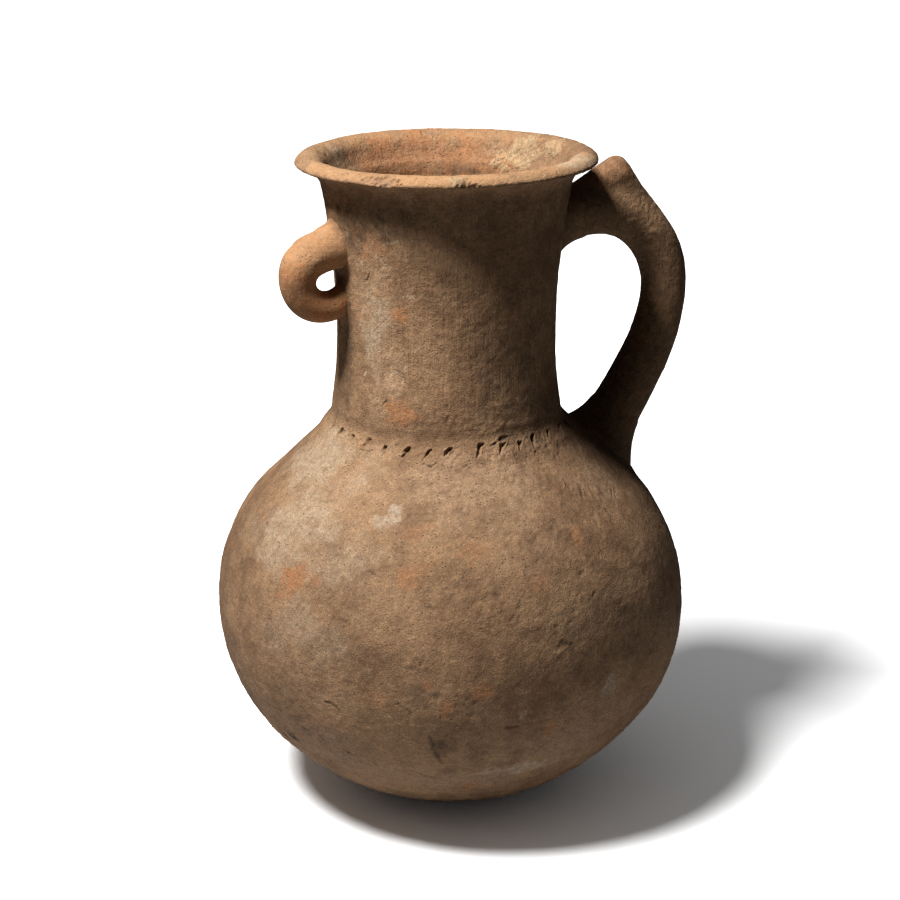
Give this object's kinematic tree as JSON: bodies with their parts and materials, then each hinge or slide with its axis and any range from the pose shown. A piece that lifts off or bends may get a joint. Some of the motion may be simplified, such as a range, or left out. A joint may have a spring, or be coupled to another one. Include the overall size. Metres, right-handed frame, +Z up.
{
  "type": "ceramic jug",
  "caption": "Round-bodied earthenware jug with a tall flared neck, a stabbed band at its foot, a peaked loop handle and a small rolled scroll.",
  "frame": {"origin": "centre of the small flat that the jug stands on", "axes": "+Z up the axis of the body and neck, +X towards the handle, -X towards the scroll"},
  "size_m": [0.1873, 0.175, 0.243],
  "materials": {
    "fired_clay": "unglazed buff-brown earthenware, weathered and earthy, with orange patches",
    "luting_clay": "the same unglazed clay, smeared by hand"
  },
  "bodies": {
    "root": {"body_bowl": "fired_clay", "body_shoulder": "fired_clay", "neck": "fired_clay", "neck_luting_band": "luting_clay", "handle_roll": "fired_clay", "thumb_peak": "fired_clay", "handle_top_luting": "luting_clay", "handle_foot_luting": "luting_clay", "scroll_roll": "fired_clay", "scroll_luting": "luting_clay"}
  },
  "joints": []
}
